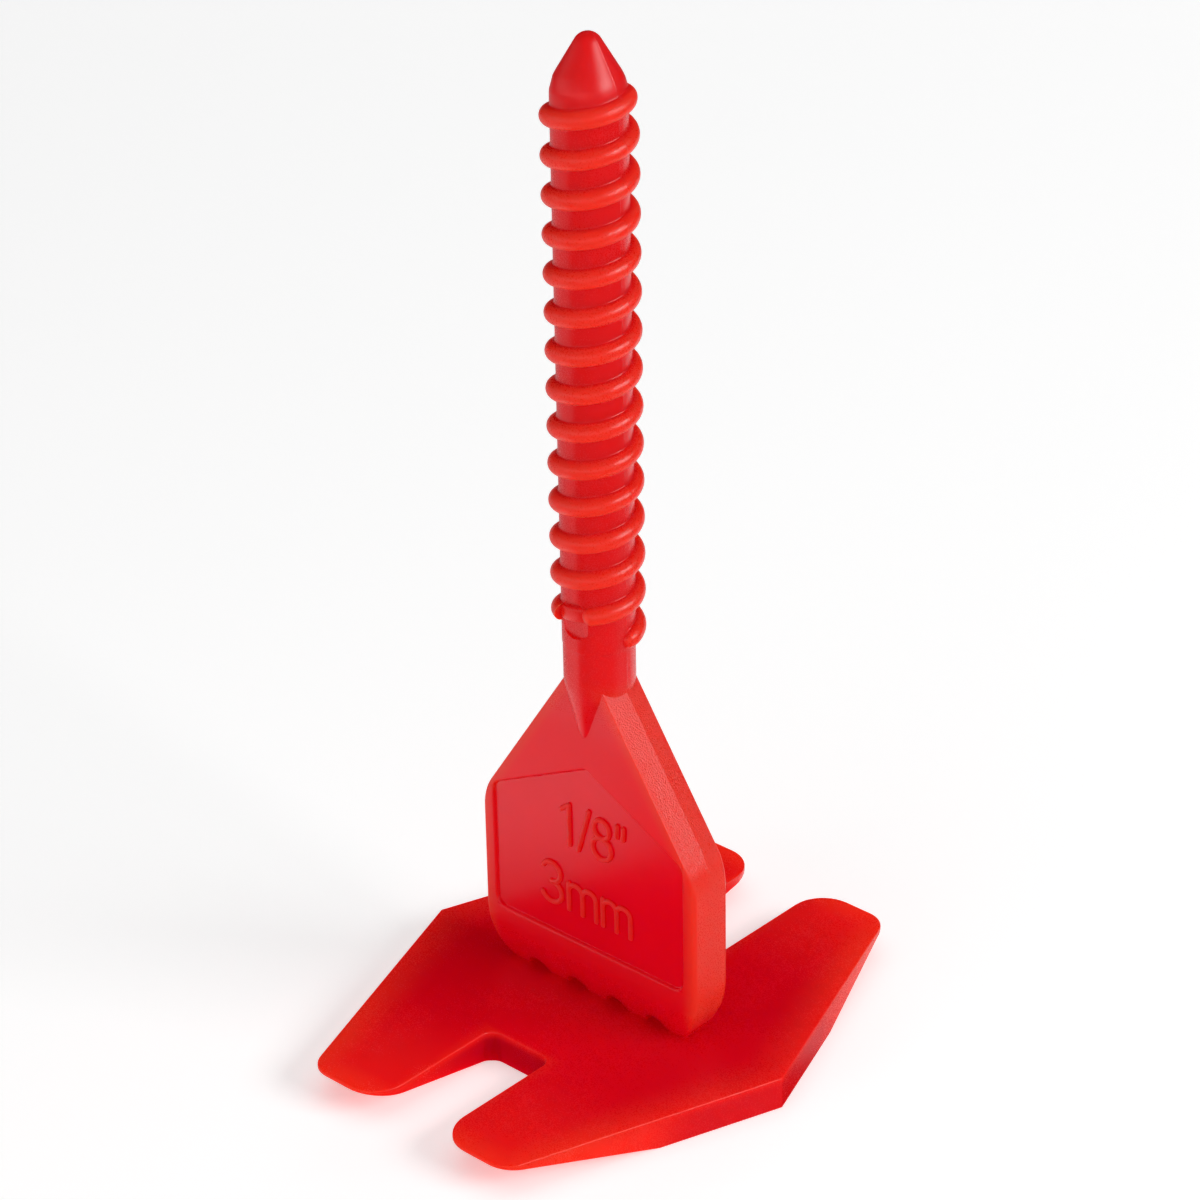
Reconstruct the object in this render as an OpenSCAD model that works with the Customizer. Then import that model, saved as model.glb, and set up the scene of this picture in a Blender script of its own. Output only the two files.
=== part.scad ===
// Screw-down tile levelling clip: a forked base that lies under two tiles, a spade that
// stands in the joint between them, and a coarse threaded post for a screw-down cap.
// Moulded in one piece. Millimetres, +Z up the post, origin at the middle of the underside.
// X runs along the spade's width, Y along the prongs and through the spade's thickness.

/* [Base] */
// Width across the two side corners
base_w = 28; // [22:0.5:36]
// Length from prong tip to prong tip
base_l = 34.6; // [28:0.2:44]
// Thickness of the flat middle
base_t = 2.1; // [1.6:0.1:3]
// Width across the outer edges where the prongs end
base_end_w = 15.7; // [13:0.1:18]
// Width of the notch between two prongs
notch_w = 4.9; // [3:0.1:6]
// Depth of the notch from the prong tips
notch_d = 9.8; // [6:0.1:11]
// Corner radius at the root of a notch
notch_r = 0.8; // [0.3:0.1:1.2]
// Rounding of a prong tip on the notch side
tip_inner_r = 2.3; // [1:0.1:2.6]
// Rounding of a prong tip on the outer side
tip_outer_r = 1.7; // [1:0.1:2]
// Length of the flat part of the underside, between the tapers
flat_l = 15.5; // [12:0.5:20]
// Thickness left at the prong tips
tip_t = 0.2; // [0.1:0.05:0.6]

/* [Spade] */
// Width of the spade
spade_w = 17; // [14:0.5:20]
// Thickness of the spade, which sets the joint between the tiles
spade_t = 3; // [2.6:0.1:3.6]
// Height of the shoulder corners above the underside
shoulder_z = 14; // [12:0.1:16]
// Slope of the shoulders, measured from the post's axis
shoulder_a = 33.8; // [28:0.1:38]
// Rounding where the shoulders meet the sides
shoulder_r = 4; // [2:0.1:6]
// Rounding of the four upright edges
edge_r = 0.3; // [0.1:0.05:0.6]

/* [Break line] */
// Number of legs that tie the spade to the base
leg_count = 5; // [3:2:7]
// Spacing of the legs
leg_pitch = 3.18; // [2.4:0.02:3.6]
// Width of the arch between two legs
arch_w = 1.66; // [1:0.02:2]
// Thickness of the spade where the legs meet the base
leg_t = 1.4; // [1:0.1:2.4]
// How far each end of the spade draws in at the base
foot_inset = 1.5; // [0.6:0.1:2]
// Height over which the ends draw in
foot_end_h = 4; // [2:0.1:5]
// Height over which the faces draw in
foot_face_h = 3; // [2:0.1:4]

/* [Panel] */
// Margin between the sunken panel and the spade's sides
panel_margin = 0.95; // [0.6:0.05:1.6]
// Height of the panel's lower edge above the underside
panel_z = 6; // [5:0.1:8]
// Height of the panel's peak above the underside
panel_peak_z = 18.4; // [15:0.1:19]
// Fall of the panel's roof, in millimetres per millimetre of width
panel_fall = 0.5; // [0.3:0.05:0.7]
// Corner radius of the panel
panel_r = 0.8; // [0.2:0.1:1.5]
// Depth of the panel
panel_d = 0.2; // [0.1:0.05:0.5]

/* [Post] */
// Height of the whole clip
post_h = 63.7; // [50:0.1:80]
// Diameter of the smooth neck
neck_d = 4.25; // [3.8:0.05:4.3]
// Height where the neck's roots begin, at a point on each of the spade's faces
neck_root_z = 20.5; // [18:0.1:22]
// Height over which a root spreads to the neck's full diameter
neck_root_h = 3.3; // [2:0.1:4]
// Height where the neck ends and the threaded core begins
core_z = 26.6; // [25:0.1:30]
// Half angle of the pointed tip
tip_a = 30.5; // [25:0.5:40]
// Rounding of the point
tip_r = 0.85; // [0.4:0.05:1]
// Rounding where the point runs into the core
tip_shoulder_r = 2.5; // [1:0.1:3]

/* [Thread] */
// Diameter of the core under the thread
core_d = 4.32; // [4.32:0.02:4.8]
// Diameter over the thread
thread_d = 5.5; // [5.1:0.05:6.2]
// Rise of the thread in one turn
thread_pitch = 2.33; // [2:0.01:2.8]
// Height of the thread's lower end above the neck
thread_rise = 0.6; // [0.6:0.1:2]
// How far the thread's upper end climbs onto the point's shoulder
thread_reach = 0.15; // [0:0.05:0.5]
// Bearing of the lower end, from +X toward +Y
thread_start_a = -8; // [-180:1:180]
// Width of the rounded ridge at the core
ridge_w = 1.15; // [0.9:0.01:1.6]
// Turns over which the lower end rounds off
run_in = 0.06; // [0.05:0.01:0.3]
// Turns over which the upper end fades
run_out = 0.15; // [0.05:0.01:0.4]

/* [Gate pocket] */
// Diameter of the spot face that cuts the lowest turn
gate_d = 2.4; // [1.6:0.1:3]
// Height of its middle above the neck
gate_rise = 2.05; // [1.5:0.05:4]
// Distance of its floor from the axis
gate_floor = 1.95; // [1.8:0.05:2.1]

/* [Hidden] */
// Facets round one turn of the thread
turn_steps = 36;
// Facets across the rounded ridge
ridge_steps = 6;
// Share of the ridge's width left at its two ends
narrowest = 0.35;
// Turns of point rows kept below and above the thread, flat against the ends of the core
spare_turns = 2;
// Facets in one rounded corner
corner_steps = 8;
// Height of cone that is drawn with the threaded core
cone_lap = 0.2;
// How far the point's root keeps inside the core's facets, and the neck's feet inside the spade
step_in = 0.01;
// Width of the spade's top, which is inside the neck
crown_w = 1;
// How far joined solids reach into each other
sink = 0.8;
// Reach of a cut past the surface that it leaves
past = 2;
$fn = 48;

notch_root_y = base_l / 2 - notch_d;
taper_a = atan((base_t - tip_t) / (base_l / 2 - flat_l / 2));

core_r = core_d / 2;
ridge_h = (thread_d - core_d) / 2;

point_z = post_h - tip_r + tip_r / sin(tip_a);
shoulder_drop = tip_shoulder_r * tan(tip_a / 2);
bend_z = point_z - core_r / tan(tip_a) - shoulder_drop;
cone_z = bend_z + tip_shoulder_r * sin(tip_a);
skin_top_z = cone_z + cone_lap;

thread_z = core_z + thread_rise;
thread_turns = (bend_z + thread_reach - thread_z) / thread_pitch;
rows_per_turn = ridge_steps + 1;
rows = rows_per_turn * (ceil(thread_turns) + 2 * spare_turns);

// Points of an arc about a centre, from one bearing to another
function arc(c, r, a0, a1, n = corner_steps) =
    [for (i = [0:n]) let (a = a0 + (a1 - a0) * i / n) [c[0] + r * cos(a), c[1] + r * sin(a)]];

// Arc that rounds corner v, which lies between points u and w
function corner(u, v, w, r) =
    let (p = (u - v) / norm(u - v))
    let (q = (w - v) / norm(w - v))
    let (half = acos(p * q) / 2)
    let (mid = (p + q) / norm(p + q))
    let (c = v + mid * r / sin(half))
    let (side = sign(p[0] * q[1] - p[1] * q[0]))
    let (facing = atan2(-mid[1], -mid[0]))
    arc(c, r, facing + side * (90 - half), facing - side * (90 - half));

// Closed outline from [x, y, radius] corners; radius 0 keeps a corner sharp
function outline(pts) =
    let (n = len(pts))
    [for (i = [0:n - 1])
        let (u = pts[(i + n - 1) % n])
        let (v = pts[i])
        let (w = pts[(i + 1) % n])
        let (flat_v = [v[0], v[1]])
        for (p = v[2] > 0 ? corner([u[0], u[1]], flat_v, [w[0], w[1]], v[2]) : [flat_v]) p];

// The same points reversed and mirrored in X, to close a symmetric outline
function mirrored(pts) = [for (i = [len(pts) - 1:-1:0]) [-pts[i][0], pts[i][1], pts[i][2]]];

// Half of the base's plan, one side from the front notch round to the back one
base_side = [
    [notch_w / 2, -notch_root_y, notch_r],
    [notch_w / 2, -base_l / 2, tip_inner_r],
    [base_end_w / 2, -base_l / 2, tip_outer_r],
    [base_w / 2, 0, 0],
    [base_end_w / 2, base_l / 2, tip_outer_r],
    [notch_w / 2, base_l / 2, tip_inner_r],
    [notch_w / 2, notch_root_y, notch_r]
];

// Flat forked plate whose underside rises to thin prong tips
module base() {
    difference() {
        linear_extrude(base_t)
            polygon(outline(concat(base_side, mirrored(base_side))));
        for (end = [0, 180])
            rotate([0, 0, end])
                translate([0, flat_l / 2, 0])
                    rotate([taper_a, 0, 0])
                        translate([-base_w, 0, -base_t * 2])
                            cube([base_w * 2, base_l, base_t * 2]);
    }
}

// Bow that draws a side in by an inset over a height, as points from the top down to z0
function draw_in(x, z0, h, inset) =
    let (r = (h * h + inset * inset) / (2 * inset))
    arc([x - r, z0 + h], r, 0, -asin(h / r));

// Right half of the spade's front outline, from the base up to a point inside the neck
crown_z = shoulder_z + (spade_w - crown_w) / 2 / tan(shoulder_a);
foot_bow = draw_in(spade_w / 2, base_t, foot_end_h, foot_inset);
spade_right = concat(
    [[spade_w / 2 - foot_inset, base_t - sink, 0]],
    [for (i = [len(foot_bow) - 1:-1:0]) [foot_bow[i][0], foot_bow[i][1], 0]],
    [[spade_w / 2, shoulder_z, shoulder_r]],
    [[crown_w / 2, crown_z, 0]]
);

// Right half of the spade seen from its end
face_bow = draw_in(spade_t / 2, base_t, foot_face_h, (spade_t - leg_t) / 2);
spade_end = concat(
    [[leg_t / 2, base_t - sink, 0]],
    [for (i = [len(face_bow) - 1:-1:0]) [face_bow[i][0], face_bow[i][1], 0]],
    [[spade_t / 2, crown_z + sink, 0]]
);

// Plan of the spade with its upright edges rounded
spade_plan = [
    [spade_w / 2, -spade_t / 2, edge_r],
    [spade_w / 2, spade_t / 2, edge_r],
    [-spade_w / 2, spade_t / 2, edge_r],
    [-spade_w / 2, -spade_t / 2, edge_r]
];

module spade_blank() {
    intersection() {
        rotate([90, 0, 0])
            linear_extrude(spade_t * 2, center = true)
                polygon(outline(concat(spade_right, mirrored(spade_right))));
        rotate([90, 0, 90])
            linear_extrude(spade_w * 2, center = true)
                polygon(outline(concat(spade_end, mirrored(spade_end))));
        linear_extrude(post_h)
            polygon(outline(spade_plan));
    }
}

// Arches that leave the legs of the break line
module arches() {
    for (i = [0:leg_count - 2])
        translate([(i - (leg_count - 2) / 2) * leg_pitch, 0, base_t])
            rotate([90, 0, 0])
                cylinder(h = spade_t * 2, d = arch_w, center = true);
}

// House-shaped panel sunk into the front face
panel_x = spade_w / 2 - panel_margin;
panel_half = [
    [panel_x, panel_z, panel_r],
    [panel_x, panel_peak_z - panel_fall * panel_x, panel_r],
    [0, panel_peak_z, 0]
];

module panel() {
    translate([0, -spade_t / 2 + panel_d, 0])
        rotate([90, 0, 0])
            linear_extrude(past)
                polygon(outline(concat(panel_half, [[-panel_half[1][0], panel_half[1][1], panel_r]],
                                       [[-panel_half[0][0], panel_half[0][1], panel_r]])));
}

module spade() {
    difference() {
        spade_blank();
        arches();
        panel();
    }
}

// Radius of the core and of the point above it, at height z
function post_r(z) =
    z <= bend_z ? core_r
    : z < cone_z ? core_r - tip_shoulder_r + sqrt(pow(tip_shoulder_r, 2) - pow(z - bend_z, 2))
    : (point_z - z) * tan(tip_a);

// Share of the ridge's full size at a place along the thread
function fade(turn) =
    turn <= 0 || turn >= thread_turns ? 0
    : turn < run_in ? sqrt(1 - pow(1 - turn / run_in, 2))
    : turn > thread_turns - run_out ? sin(90 * (thread_turns - turn) / run_out)
    : 1;

// Point in a column of the threaded core: rows climb, and follow the thread from column to column
function thread_point(column, row) =
    let (turn = floor(row / rows_per_turn) - spare_turns + column / turn_steps)
    let (bow = (row % rows_per_turn) / ridge_steps * 180 - 90)
    let (f = fade(turn))
    let (along = ridge_w / 2 * sin(bow) * (narrowest + (1 - narrowest) * f))
    let (high = ridge_h * cos(bow) * f)
    let (z = min(skin_top_z, max(core_z, thread_z + thread_pitch * turn + along)))
    let (r = post_r(z) + high)
    let (a = thread_start_a + 360 * column / turn_steps)
    [r * cos(a), r * sin(a), z];

// Place of a point in the list; past the last column the first one follows, a turn higher
function thread_index(column, row) =
    column < turn_steps ? column * (rows + 1) + row : row + rows_per_turn;

// Whether three points are all apart
function apart(p, q, r) = p != q && q != r && r != p;

// Core and thread as one closed skin, rows on the ridge and on the core between its turns
module threaded_core() {
    points = [for (c = [0:turn_steps - 1]) for (r = [0:rows]) thread_point(c, r)];
    sides = [
        for (c = [0:turn_steps - 1])
            for (r = [0:rows - rows_per_turn - 1])
                let (a = thread_index(c, r))
                let (b = thread_index(c + 1, r))
                let (d = thread_index(c, r + 1))
                let (e = thread_index(c + 1, r + 1))
                for (t = [[a, d, b], [b, d, e]])
                    if (apart(points[t[0]], points[t[1]], points[t[2]]))
                        t
    ];
    bottom = [for (c = [0:turn_steps - 1]) thread_index(c, 0)];
    top = [for (c = [turn_steps - 1:-1:0]) thread_index(c, rows)];
    polyhedron(points, concat(sides, [bottom, top]), convexity = 10);
}

// Spot face left by the moulding gate, across the lowest turn
module gate_pocket() {
    translate([0, -gate_floor, core_z + gate_rise])
        rotate([90, 0, 0])
            cylinder(h = past, d = gate_d);
}

// Rounded point above the threaded core
module point() {
    root_r = post_r(skin_top_z) * cos(180 / turn_steps) - step_in;
    profile = concat(
        [[0, skin_top_z - sink], [root_r, skin_top_z - sink], [root_r, skin_top_z]],
        arc([0, post_h - tip_r], tip_r, tip_a, 90)
    );
    rotate_extrude()
        polygon(profile);
}

// Round neck as one closed skin, whose foot narrows to a point on each of the spade's faces
module neck() {
    full_z = neck_root_z + neck_root_h;
    foot_y = spade_t / 2 - step_in;
    ring = [for (i = [0:$fn - 1]) neck_d / 2 * [cos(360 * i / $fn), sin(360 * i / $fn)]];
    feet = [[0, foot_y, neck_root_z], [0, -foot_y, neck_root_z]];
    points = concat(feet, [for (z = [full_z, core_z + sink]) for (p = ring) [p[0], p[1], z]]);
    full = [for (i = [0:$fn]) len(feet) + i % $fn];
    top = [for (i = full) i + $fn];
    half = $fn / 2;
    roots = [for (i = [0:$fn - 1]) [i < half ? 0 : 1, full[i], full[i + 1]]];
    ends = [[1, full[0], 0], [0, full[half], 1]];
    walls = [for (i = [0:$fn - 1]) [full[i], top[i], top[i + 1], full[i + 1]]];
    polyhedron(points, concat(roots, ends, walls, [[for (i = [$fn - 1:-1:0]) top[i]]]));
}

module levelling_clip() {
    color("red") {
        base();
        spade();
        difference() {
            union() {
                neck();
                threaded_core();
            }
            gate_pocket();
        }
        point();
    }
}

levelling_clip();
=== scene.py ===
import math

import bmesh
import bpy
import numpy as np
from mathutils import Matrix, Vector


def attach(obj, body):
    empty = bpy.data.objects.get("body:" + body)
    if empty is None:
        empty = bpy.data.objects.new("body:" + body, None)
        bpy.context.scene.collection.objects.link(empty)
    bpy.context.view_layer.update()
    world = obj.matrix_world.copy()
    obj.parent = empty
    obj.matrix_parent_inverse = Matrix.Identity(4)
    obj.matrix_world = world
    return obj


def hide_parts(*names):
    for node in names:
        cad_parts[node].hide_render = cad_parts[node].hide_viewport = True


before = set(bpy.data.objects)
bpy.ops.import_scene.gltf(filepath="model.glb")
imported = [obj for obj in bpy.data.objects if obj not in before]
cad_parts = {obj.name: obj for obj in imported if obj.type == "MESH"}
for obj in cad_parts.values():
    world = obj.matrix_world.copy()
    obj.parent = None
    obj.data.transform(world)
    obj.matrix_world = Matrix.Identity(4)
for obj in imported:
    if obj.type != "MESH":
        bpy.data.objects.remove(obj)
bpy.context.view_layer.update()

# Sizes in millimetres, in the part's own frame: +Z up the post, X along the spade, -Y the panel's side
MM = 0.001

# Distances below which two points are one: in a new piece, after the cuts, and on a line
SAME_POINT, SAME_AFTER_CUTS, ON_LINE = 1e-5, 2e-4, 1e-6

# Forked base; near the tips its edge radii are held to a share of the thickness
BASE_W, BASE_L, BASE_T, BASE_END_W = 28.0, 34.6, 2.1, 15.7
BASE_CORNER_R, BASE_TOP_R, BASE_LOW_R = 0.22, 0.08, 0.07
TOP_R_SHARE, LOW_R_SHARE, LOW_BEND = 0.4, 0.2, 0.3
NOTCH_W, NOTCH_D, NOTCH_R = 4.9, 9.8, 0.8
TIP_INNER_R, TIP_OUTER_R, TIP_T, FLAT_L = 2.3, 1.7, 0.2, 15.5
NOTCH_Y = BASE_L / 2 - NOTCH_D
SIDE_SLANT = math.atan2((BASE_W - BASE_END_W) / 2, BASE_L / 2)

# Spade: its edges, the low crest along its shoulders, and its foot with the legs of the break line
SPADE_W, SPADE_T, SHOULDER_Z, SHOULDER_R = 17.0, 3.0, 14.0, 4.0
SHOULDER_SLOPE, CROWN_HALF = math.radians(33.8), 0.5
EDGE_R, SHOULDER_EDGE_R, SHOULDER_CREASE, LEAST_LAND = 0.3, 0.07, 0.23, 0.05
CREST_Y, CREST_REACH_Y, CREST_FROM_X, CREST_CLEAR = 0.1, 0.21, 1.8, 1.0
FOOT_INSET, FOOT_END_H, FOOT_FACE_H, FOOT_SINK, FOOT_BUNCH = 1.5, 4.0, 3.0, 0.6, 1.15
LEGS, LEG_PITCH, LEG_T, ARCH_W, ARCH_REACH = 5, 3.18, 1.4, 1.66, 2.5

# Sunken panel: its outline, and its wall as steps out from that outline and up from the floor
PANEL_MARGIN, PANEL_Z, PANEL_PEAK_Z, PANEL_FALL = 0.95, 6.0, 18.4, 0.5
PANEL_R, PANEL_PEAK_R, PANEL_D = 0.8, 0.3, 0.2
PANEL_WALL = ((-0.07, 0), (-0.035, 0.008), (-0.015, 0.03), (0.005, 0.1),
              (0.025, 0.145), (0.07, 0.18), (0.16, 0.2), (0.4, 0.25))
SILL_LIFT, SILL_LEAN = 0.02, 0.3
PANEL_HALF, PANEL_FLOOR_Y = SPADE_W / 2 - PANEL_MARGIN, PANEL_D - SPADE_T / 2

# Raised size marks: the strokes, then where the two rows stand
STROKE_HALF, STROKE_RISE, STROKE_SINK, STROKE_BOW = 0.17, 0.19, 0.05, 0.6
INCH_ROW_Z, MM_ROW_Z, THREE_X, LETTER_X, LETTER_STEP, HUMP_W = 12.6, 8.0, -3.0, -1.6, 2.75, 1.1

# Neck, core and point of the post; the neck's root widens up the spade's faces in shares of its height
POST_H, NECK_D, ROOT_Z, ROOT_H, CORE_Z = 63.7, 4.25, 20.5, 3.3, 26.6
ROOT_START, ROOT_EASE, ROOT_END, ROOT_EASE_RUN = 0.02, 0.85, 1.15, 0.6
ROOT_TIP_R, ROOT_TIP_SINK, ROOT_TIP_DROP = 0.02, 0.1, 0.05
FLARE, FLARE_RUN, FLARE_SOFT = 0.22, 0.16, 0.15
STEP_FOOT_DROP, STEP_LOW_DROP, STEP_TOP_DROP, STEP_SOFT = 0.06, 0.025, 0.008, 0.005
TIP_SLOPE, TIP_R, TIP_SHOULDER_R = math.radians(30.5), 0.85, 2.5

# Thread and the gate pocket that cuts its lowest turn; runs along the ridge are in turns
CORE_D, THREAD_D, PITCH, RIDGE_W, RIDGE_ROOT_R = 4.32, 5.5, 2.33, 1.15, 0.1
THREAD_RISE, THREAD_REACH, THREAD_START = 0.6, 0.15, math.radians(-8)
RUN_IN, RUN_OUT, RIDGE_END_W, CONE_LAP = 0.06, 0.15, 0.15, 0.2
COLUMNS, SPARE_TURNS = 128, 2
GATE_D, GATE_RISE, GATE_FLOOR, GATE_REACH = 2.4, 2.05, 1.95, 4.0
GATE_MID, NOSE_START, NOSE_RUN, NOSE_MID, NOSE_R = 0.772, 0.84, 0.04, 0.864, 0.57
BAR_BEARINGS = np.radians(np.linspace(-130, -52, 25))
BAR_SECTION = ((-0.43, 1.6), (-0.42, 2.14), (-0.38, 2.23), (-0.3, 2.28),
               (0.4, 2.28), (0.48, 2.23), (0.52, 2.14), (0.53, 1.6))
BEARINGS = THREAD_START + 2 * math.pi * np.arange(COLUMNS) / COLUMNS

# Heights that follow from the point's cone
CORE_R, RIDGE_H = CORE_D / 2, (THREAD_D - CORE_D) / 2
POINT_Z = POST_H - TIP_R + TIP_R / math.sin(TIP_SLOPE)
BEND_Z = POINT_Z - CORE_R / math.tan(TIP_SLOPE) - TIP_SHOULDER_R * math.tan(TIP_SLOPE / 2)
CONE_Z = BEND_Z + TIP_SHOULDER_R * math.sin(TIP_SLOPE)
SKIN_TOP_Z = CONE_Z + CONE_LAP
THREAD_Z = CORE_Z + THREAD_RISE
TURNS = (BEND_Z + THREAD_REACH - THREAD_Z) / PITCH

# Angles at which the smooth faces break into an edge
EDGE_BREAK, CREST_BREAK = math.radians(40), math.radians(8)

# Reds of the plastic, and the reds of its painted light: painted glow at the rim and edges, painted shade on
# the base's walls, painted light on the legs, painted glints on the grain
DEEP_RED, DEEP_RED_CLOUD = (0.77, 0.0006, 0.0122, 1), (0.8, 0.0014, 0.0132, 1)
POST_RED, PAINTED_RIM_GLOW = (0.72, 0.012, 0.0145, 1), (0.93, 0.036, 0.018, 1)
PAINTED_WALL_SHADE, PAINTED_LEG_LIGHT = (0.56, 0.001, 0.012, 1), (0.87, 0.001, 0.013, 1)
PAINTED_EDGE_GLOW, GRAIN_AND_GLINT_RED = (0.77, 0.034, 0.018, 1), (0.86, 0.055, 0.04, 1)
BLACK, WHITE = (0, 0, 0, 1), (1, 1, 1, 1)

# Where the plastic's colour, its painted glow, painted shade and painted light, its roughness and its relief
# change, in millimetres: each pair is the start and the end of a smooth change
RIM_DEPTH, PRONG_RUN, PRONG_THIN, ABOVE_BASE = (-0.5, 3.2), (5, 15), (7, 15), (BASE_T, BASE_T + 0.4)
NOTCH_SIDE, NOTCH_RUN, BASE_MIDDLE, BASE_WALL_TOP = (2.5, 2.6), (8, 15), (5, 9), (1.5, 2.1)
LEG_DEPTH, LEG_ROW = (1.4, 2.2), (6.3, 7.2)
LEG_FOOT, LEG_TOP, LEG_CLEAR = (1.9, 2.05), (2.3, 3.4), (2.08, 2.2)
BLADE_EDGE, BLADE_FOOT, BLADE_TOP, BLADE_FRONT = (0.1, 1.2), (BASE_T, BASE_T + 1.5), (23, 25), (1.15, 1.25)
PANEL_LIP, PANEL_INSIDE, MARGIN_FOOT, MARGIN_TOP = (-0.05, 0.05), (0.0, 0.1), (4, 6), (20, 22)
MARKS_INSIDE, MARKS_FRONT = (0.4, 0.5), (1.33, 1.4)
NECK_RUN, POINT_FOOT = (19, 25), (59, 60)
THREAD_FOOT, RIDGE_RUN = (CORE_Z, CORE_Z + 0.5), (CORE_R, CORE_R + 0.4)
SEAM_SIDES, SEAM_FOOT = (0.02, 0.08), (23.6, 24.2)

# How strongly each place takes its painted glow, painted shade, painted light or painted glints, and how the
# notch stretches the distance for the rim's painted glow
RIM_SHARE, PRONG_SHARE, PRONG_TIP_SHARE, NOTCH_FADE, MIDDLE_SHARE = 0.5, 0.6, 0.3, 0.6, 0.6
LEG_FOOT_SHARE, MARK_SHARE, MARGIN_SHARE, GRAIN_AND_GLINT_SHARE = 0.25, 0.5, 0.1, 0.5
NOTCH_STRETCH, NOTCH_END_STRETCH, NOTCH_OFFSET = 1.6, 3, 1.2

# Roughness of the plastic and what each place adds to it
SATIN, GRAIN_ROUGH, GRAIN_SPREAD, MARK_ROUGH, MARGIN_ROUGH = 0.27, 0.08, 0.5, 0.25, 0.1
PANEL_POLISH, POINT_ROUGH, CLOUD_ROUGH, FINE_ROUGH = 0.07, 0.07, 0.08, 0.06

# Heights of the fine relief, in shares of its depth in metres
RELIEF_DEPTH, COARSE_SHARE = 0.00012, 0.7
GRAIN_RISE, MARK_RISE, SKIN_RISE, SEAM_RISE = 0.42, 0.2, 0.004, 0.1

# Spark-eroded grain: how much each place has, where it starts, and which way its faces have to point
RIDGE_GRAIN, SIDE_GRAIN, SHOULDER_GRAIN = 0.4, 0.25, 1.0
RIDGE_GRAIN_FROM, RIDGE_GRAIN_RUN, GRAIN_FOOT_Z = CORE_R + 0.1, 0.2, BASE_T + 1
SIDEWAYS, UPWARDS, GRAIN_UPWARDS = 0.6, 0.4, (0.05, 0.5)

# Noises of the plastic: scale per metre and detail, and the soft range that colours take from them
CLOUD_NOISE, FINE_NOISE, COARSE_NOISE = (160.0, 3.0), (14000.0, 1.0), (10000.0, 1.0)
CLOUD_RANGE, COARSE_RANGE, NOISE_MEAN = (0.3, 0.7), (0.25, 0.75), 0.5

# Floor and the glowing card that paints its reflection: opposite corners in metres, and how far the card lies
# below the floor
FLOOR_CORNERS, CARD_CORNERS, CARD_DROP = ((-3, -3), (3, 3)), ((-0.3, -0.2), (0.06, 0.3)), 0.0005
FLOOR_PALE, FLOOR_WHITE, FLOOR_NOISE = (0.95, 0.95, 0.95, 1), (0.97, 0.97, 0.97, 1), (9.0, 2.0)

# Glowing card that paints the lit floor's reflection in the plastic, with a painted shadow under the base and
# near the clip: where its glow changes, in millimetres, and how bright it is
CARD_SPLIT, CARD_LEFT, CARD_BACK, CARD_NEAR = (-8, 8), (28, 48), (2, 8), (10, 30)
CARD_TURN, CARD_LEFT_FADE, CARD_RIGHT_SHARE, CARD_GLOW = 0.51, 0.5, 0.37, 0.87
SHADE_SIDES, SHADE_ENDS = (-0.6, 0.6), (16.8, 18)

# Pale wall of the studio: its bearing and height in degrees, its glow, and the soft ends of its patch
WALL_BEARING, WALL_HEIGHT, WALL_GLOW = -50, 4, 1.1
WALL_SPREAD, WALL_FADE, WALL_FOOT = (0.0, 0.9), (0.05, 0.5), (-0.02, 0.04)

# The photograph's camera, in metres, with its focal length in pixels
VIEW_BEARING, VIEW_HEIGHT, VIEW_ROLL = math.radians(42.8512), math.radians(28.3296), math.radians(-1.096)
VIEW_DISTANCE, AIM_Z, AIM_RIGHT = 0.2314036, 0.029105, 0.0000882
PHOTO_SIZE, PHOTO_FOCAL, SENSOR_W = 1200, 4016.815, 36.0
ASIDE = Vector((math.cos(VIEW_BEARING), math.sin(VIEW_BEARING), 0))
FRONT = Vector((math.sin(VIEW_BEARING), -math.cos(VIEW_BEARING), 0))


def arc(centre, r, a0, a1, steps):
    """Points of an arc about a centre, from one bearing to another, in radians."""
    a = np.linspace(a0, a1, steps + 1)
    return np.c_[centre[0] + r * np.cos(a), centre[1] + r * np.sin(a)]


def outline(corners, steps=10):
    """Closed ring through (x, y, radius) corners, each rounded by its own radius."""
    ring = []
    for i, (x, y, r) in enumerate(corners):
        v = np.array((x, y))
        u = np.array(corners[i - 1][:2]) - v
        w = np.array(corners[(i + 1) % len(corners)][:2]) - v
        u, w = u / np.linalg.norm(u), w / np.linalg.norm(w)
        half = math.acos(np.clip(u @ w, -1, 1)) / 2
        mid = (u + w) / np.linalg.norm(u + w)
        facing = math.atan2(-mid[1], -mid[0])
        turn = math.copysign(math.pi / 2 - half, u[0] * w[1] - u[1] * w[0])
        ring.append(arc(v + mid * r / math.sin(half), r, facing + turn, facing - turn, steps))
    return np.concatenate(ring)


def inset(ring, d):
    """The ring moved inwards by d, each corner along its bisector. The ring runs anticlockwise."""
    before, after = ring - np.roll(ring, 1, 0), np.roll(ring, -1, 0) - ring
    before /= np.linalg.norm(before, axis=1)[:, None]
    after /= np.linalg.norm(after, axis=1)[:, None]
    n1, n2 = np.c_[-before[:, 1], before[:, 0]], np.c_[-after[:, 1], after[:, 0]]
    return ring + d * (n1 + n2) / (1 + (n1 * n2).sum(1))[:, None]


def split_at(ring, y):
    """The ring with a point added wherever it crosses the line at y."""
    out = []
    for p, q in zip(ring, np.roll(ring, -1, 0)):
        out.append(p)
        if (p[1] - y) * (q[1] - y) < 0:
            out.append(p + (q - p) * (y - p[1]) / (q[1] - p[1]))
    return np.array(out)


def standing(xz, y):
    """A ring of (x, z) points, stood up at one depth."""
    return np.c_[xz[:, 0], np.full(len(xz), y), xz[:, 1]]


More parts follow.
